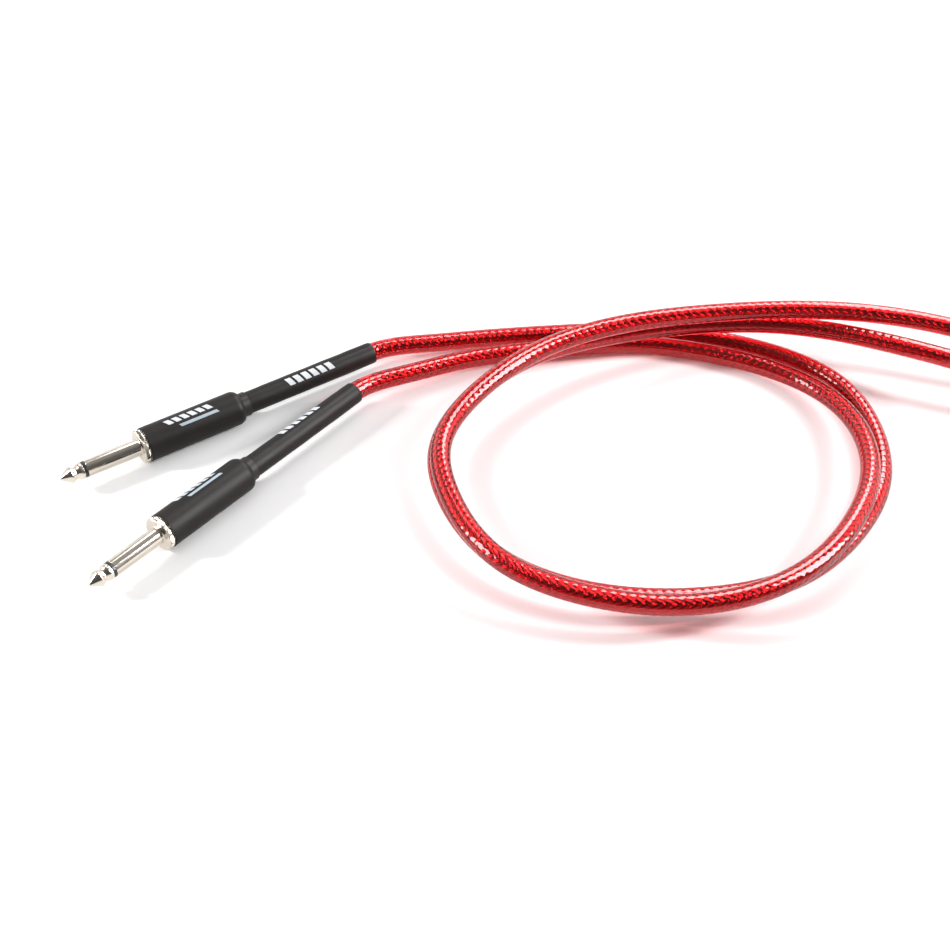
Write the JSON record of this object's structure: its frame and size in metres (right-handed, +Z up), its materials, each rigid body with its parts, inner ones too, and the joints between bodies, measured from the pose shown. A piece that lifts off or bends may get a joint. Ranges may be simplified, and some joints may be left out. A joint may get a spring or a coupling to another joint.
{
  "type": "instrument cable",
  "caption": "Shielded instrument cable in a clear red jacket with straight 6.35 mm plugs; plugs flex on their leads and the barrels unscrew and slide back.",
  "frame": {"origin": "middle of the laid-out cable's outline in plan, on the table it rests on", "axes": "+Z up from the table, +X from the plugs toward the far ring of the coil, +Y from the second plug's side toward the first's"},
  "size_m": [0.5544, 0.2494, 0.0268],
  "materials": {
    "nickel": "bright turned nickel plate",
    "black_ring": "satin black plastic",
    "heat_shrink": "matt black heat-shrink",
    "shell_metal": "plain turned brass, nickel plated",
    "brass": "tinned brass strip",
    "solder": "bright solder",
    "tinned_copper": "tinned copper wire",
    "red_jacket": "clear red flexible vinyl, glossy",
    "braid": "woven fine wire seen through the red jacket",
    "dielectric": "natural polyethylene",
    "liner": "thin insulating tube"
  },
  "bodies": {
    "cable_coil": {"jacket_coil": "red_jacket", "shielded_core_coil": "braid"},
    "lead_a": {"jacket_lead_a": "red_jacket", "braid_lead_a": "braid", "core_lead_a": "dielectric", "conductor_lead_a": "tinned_copper"},
    "plug_a": {"tip_contact_a": "nickel", "tip_insulator_a": "black_ring", "sleeve_a": "nickel", "rear_insulator_a": "black_ring", "ground_lug_a": "brass", "tip_lug_a": "brass", "solder_tip_a": "solder", "solder_ground_a": "solder", "shield_tail_a": "tinned_copper", "jacket_end_a": "red_jacket", "braid_end_a": "braid", "core_end_a": "dielectric", "conductor_end_a": "tinned_copper", "boot_a": "heat_shrink"},
    "bush_a": {"rear_bush_a": "heat_shrink"},
    "liner_a": {"liner_a": "liner"},
    "shell_a": {"shell_a": "shell_metal", "shell_cover_a": "heat_shrink"},
    "lead_b": {"jacket_lead_b": "red_jacket", "braid_lead_b": "braid", "core_lead_b": "dielectric", "conductor_lead_b": "tinned_copper"},
    "plug_b": {"tip_contact_b": "nickel", "tip_insulator_b": "black_ring", "sleeve_b": "nickel", "rear_insulator_b": "black_ring", "ground_lug_b": "brass", "tip_lug_b": "brass", "solder_tip_b": "solder", "solder_ground_b": "solder", "shield_tail_b": "tinned_copper", "jacket_end_b": "red_jacket", "braid_end_b": "braid", "core_end_b": "dielectric", "conductor_end_b": "tinned_copper", "boot_b": "heat_shrink"},
    "bush_b": {"rear_bush_b": "heat_shrink"},
    "liner_b": {"liner_b": "liner"},
    "shell_b": {"shell_b": "shell_metal", "shell_cover_b": "heat_shrink"}
  },
  "joints": [
    {"name": "lead_a_swing", "type": "hinge", "parent": "cable_coil", "child": "lead_a", "pos_m": [-0.1252, 0.1156, 0.0043], "axis": [0, 0, 1], "range_deg": [-25, 3]},
    {"name": "plug_a_lift", "type": "hinge", "parent": "lead_a", "child": "plug_a", "pos_m": [-0.16313, 0.10715, 0.00662], "axis": [-0.5693, 0.8221, 0], "range_deg": [0, 30]},
    {"name": "bush_a_pull", "type": "slide", "parent": "plug_a", "child": "bush_a", "axis": [0.8221, 0.5693, 0], "range_m": [0, 0.036]},
    {"name": "shell_a_advance", "type": "slide", "parent": "bush_a", "child": "liner_a", "axis": [0.8221, 0.5693, 0], "range_m": [0, 0.006]},
    {"name": "shell_a_turn", "type": "hinge", "parent": "liner_a", "child": "shell_a", "pos_m": [-0.277, 0.0283, 0.00662], "axis": [0.8221, 0.5693, 0], "range_deg": [0, 2160]},
    {"name": "lead_b_swing", "type": "hinge", "parent": "cable_coil", "child": "lead_b", "pos_m": [-0.1327, 0.1013, 0.0043], "axis": [0, 0, 1], "range_deg": [-3, 10]},
    {"name": "plug_b_lift", "type": "hinge", "parent": "lead_b", "child": "plug_b", "pos_m": [-0.16972, 0.08324, 0.00662], "axis": [-0.7793, 0.6266, 0], "range_deg": [0, 30]},
    {"name": "bush_b_pull", "type": "slide", "parent": "plug_b", "child": "bush_b", "axis": [0.6266, 0.7793, 0], "range_m": [0, 0.036]},
    {"name": "shell_b_advance", "type": "slide", "parent": "bush_b", "child": "liner_b", "axis": [0.6266, 0.7793, 0], "range_m": [0, 0.006]},
    {"name": "shell_b_turn", "type": "hinge", "parent": "liner_b", "child": "shell_b", "pos_m": [-0.2565, -0.0247, 0.00662], "axis": [0.6266, 0.7793, 0], "range_deg": [0, 2160]}
  ],
  "couplings": [
    {"joint": "shell_a_advance", "follows": "shell_a_turn", "m_per_rad": 0.00015915},
    {"joint": "shell_b_advance", "follows": "shell_b_turn", "m_per_rad": 0.00015915}
  ]
}
